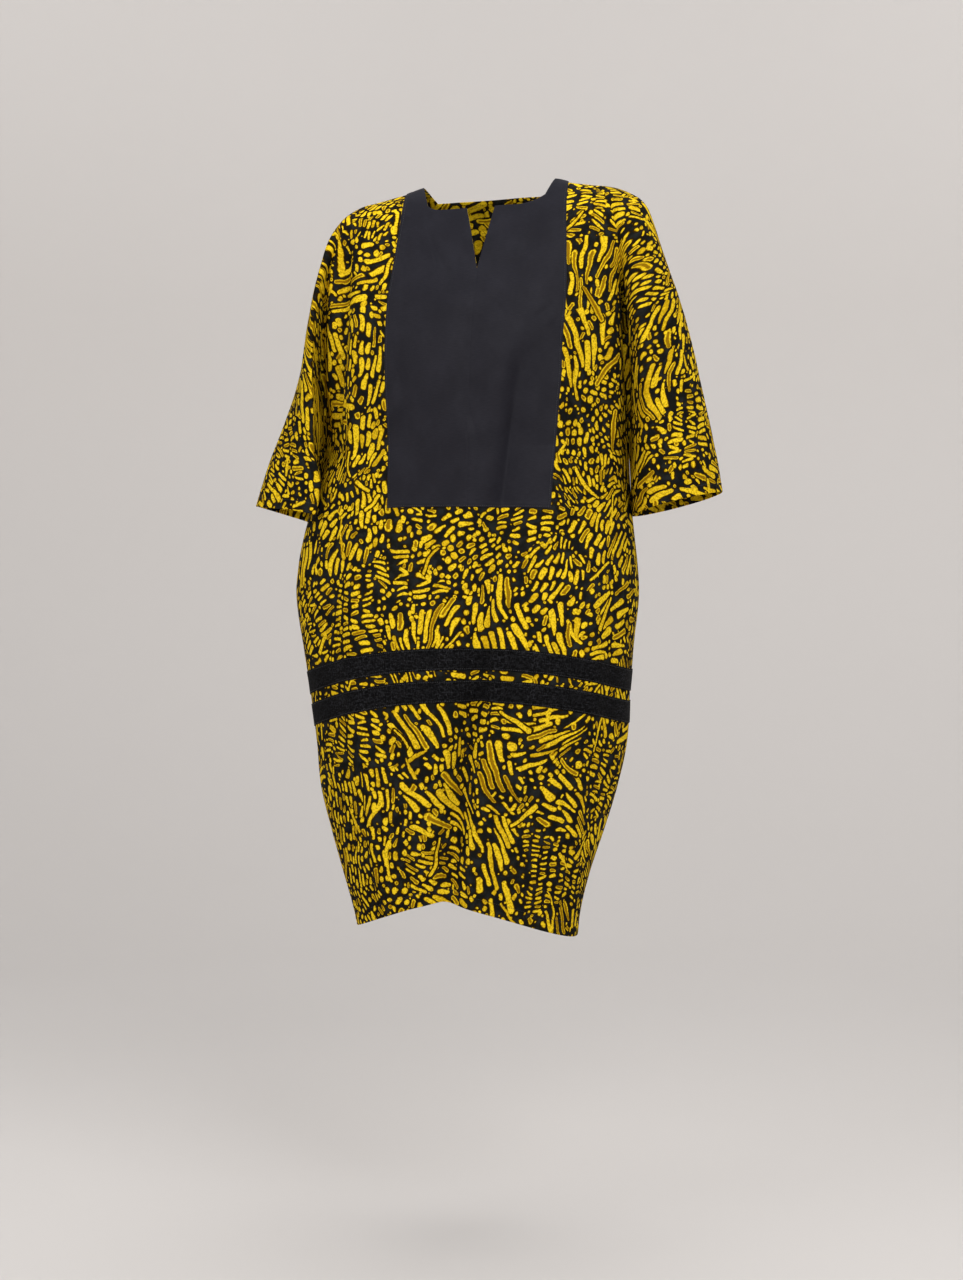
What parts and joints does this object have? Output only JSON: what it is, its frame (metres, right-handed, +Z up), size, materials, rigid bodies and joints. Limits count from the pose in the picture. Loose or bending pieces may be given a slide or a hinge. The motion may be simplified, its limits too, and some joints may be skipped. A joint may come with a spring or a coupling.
{
  "type": "shift dress",
  "caption": "Knee-length shift dress in printed cotton with elbow-length kimono sleeves, a plain square-necked bib with a neck slit, and two hip bands.",
  "frame": {"origin": "midway between the two neck points, level with the shoulder seams at the neck, where the wearer's shoulders carry the dress", "axes": "+X to the right of a viewer who faces the front, +Y to the back, +Z up along the dress"},
  "size_m": [0.6728, 0.3165, 1.0733],
  "materials": {
    "printed_cotton": "plain-weave cotton, near-black ground with hand-drawn yellow resist strokes and dots",
    "black_cotton": "smooth closely woven black cotton with a slight sheen",
    "black_trimming": "matt woven black trimming with fine crosswise ribs"
  },
  "bodies": {
    "root": {"front": "printed_cotton", "back": "printed_cotton", "bib": "black_cotton", "upper_band_front": "black_trimming", "upper_band_back": "black_trimming", "lower_band_front": "black_trimming", "lower_band_back": "black_trimming"}
  },
  "joints": []
}
